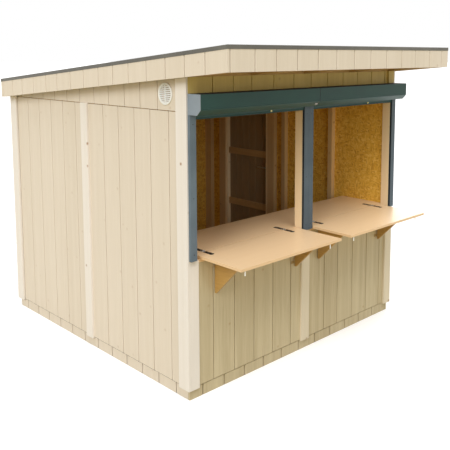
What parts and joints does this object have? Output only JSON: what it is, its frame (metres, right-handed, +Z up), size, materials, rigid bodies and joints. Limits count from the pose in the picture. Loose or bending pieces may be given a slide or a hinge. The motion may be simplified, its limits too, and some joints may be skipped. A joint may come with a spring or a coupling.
{
  "type": "wooden market hut",
  "caption": "Wooden market hut with a lean-to roof, serving openings under roller shutter boxes, fold-over counter flaps on folding brackets, a side door and a round vent.",
  "frame": {"origin": "middle of the whole outline at ground level, under the floor bearers", "axes": "+X along the front to the right as seen by a customer, +Y from the serving front to the back wall, +Z up"},
  "size_m": [2.546, 3.023, 2.4097],
  "materials": {
    "cladding": "pale planed tongue-and-groove softwood, satin",
    "trim": "smooth pale softwood trim boards",
    "header": "honey-coloured softwood boards under the eaves",
    "post": "planed glue-laminated softwood",
    "framing": "sawn softwood framing",
    "osb": "oriented strand board",
    "laminate": "light wood-grain counter board with a pale edge band",
    "counter": "light wood-grain board",
    "plywood": "varnished brown plywood",
    "deck": "floor boards",
    "felt": "mineral-surfaced bitumen roofing felt",
    "edging": "grey coated sheet-metal roof edging",
    "shutter_case": "dark grey-green powder coat",
    "shutter_cap": "light grey powder coat",
    "rail": "grey powder coat",
    "slat": "grey powder coat",
    "hinge": "black coated steel",
    "ironwork": "galvanised dark grey steel",
    "vent": "white moulded plastic",
    "handle": "satin aluminium"
  },
  "bodies": {
    "hut": {"floor_bearers": "framing", "floor_deck": "deck", "plinth": "trim", "front_wall": "cladding", "front_wall_head": "header", "left_wall": "cladding", "left_gable": "cladding", "back_wall": "cladding", "right_wall_front": "cladding", "right_wall_rear": "cladding", "right_wall_over_door": "cladding", "right_gable": "cladding", "wall_sheathing": "osb", "wall_studs": "framing", "serving_posts": "post", "front_beam": "framing", "corner_trim_front_left": "trim", "corner_trim_front_right": "trim", "corner_trim_back_left": "trim", "corner_trim_back_right": "trim", "cover_battens": "trim", "rafters": "framing", "roof_boarding": "header", "roofing_felt": "felt", "roof_edging": "edging", "fascia_front": "cladding", "fascia_back": "cladding", "fascia_left": "cladding", "fascia_right": "cladding", "shutter_box_left": "shutter_case", "shutter_box_right": "shutter_case", "shutter_end_caps": "shutter_cap", "guide_rails": "rail", "shutter_end_slats": "slat", "serving_sill": "post", "inner_counter": "counter", "counter_bearers": "framing", "counter_hinges": "hinge", "bracket_hinges": "hinge", "vent_grille": "vent", "door_lining": "post", "door_trim": "trim", "door_pintles": "ironwork"},
    "left_flap": {"flap_left": "laminate", "flap_left_hinges": "hinge"},
    "right_flap": {"flap_right": "laminate", "flap_right_hinges": "hinge"},
    "first_bracket": {"bracket_1": "plywood"},
    "second_bracket": {"bracket_2": "plywood"},
    "third_bracket": {"bracket_3": "plywood"},
    "fourth_bracket": {"bracket_4": "plywood"},
    "door": {"door_leaf": "cladding", "door_straps": "ironwork", "door_handle": "handle"}
  },
  "joints": [
    {"name": "left_flap_hinge", "type": "hinge", "parent": "hut", "child": "left_flap", "pos_m": [-0.574, -0.961, 1.0035], "axis": [-1, 0, 0], "range_deg": [0, 180]},
    {"name": "right_flap_hinge", "type": "hinge", "parent": "hut", "child": "right_flap", "pos_m": [0.574, -0.961, 1.0035], "axis": [-1, 0, 0], "range_deg": [0, 180]},
    {"name": "first_bracket_hinge", "type": "hinge", "parent": "hut", "child": "first_bracket", "pos_m": [-0.9315, -1.0295, 0.843], "axis": [0, 0, 1], "range_deg": [0, 90]},
    {"name": "second_bracket_hinge", "type": "hinge", "parent": "hut", "child": "second_bracket", "pos_m": [-0.1255, -1.0295, 0.843], "axis": [0, 0, -1], "range_deg": [0, 90]},
    {"name": "third_bracket_hinge", "type": "hinge", "parent": "hut", "child": "third_bracket", "pos_m": [0.1815, -1.0295, 0.843], "axis": [0, 0, 1], "range_deg": [0, 90]},
    {"name": "fourth_bracket_hinge", "type": "hinge", "parent": "hut", "child": "fourth_bracket", "pos_m": [0.9875, -1.0295, 0.843], "axis": [0, 0, -1], "range_deg": [0, 90]},
    {"name": "door_hinge", "type": "hinge", "parent": "hut", "child": "door", "pos_m": [1.2, 1.0935, 1], "axis": [0, 0, 1], "range_deg": [0, 110]}
  ]
}
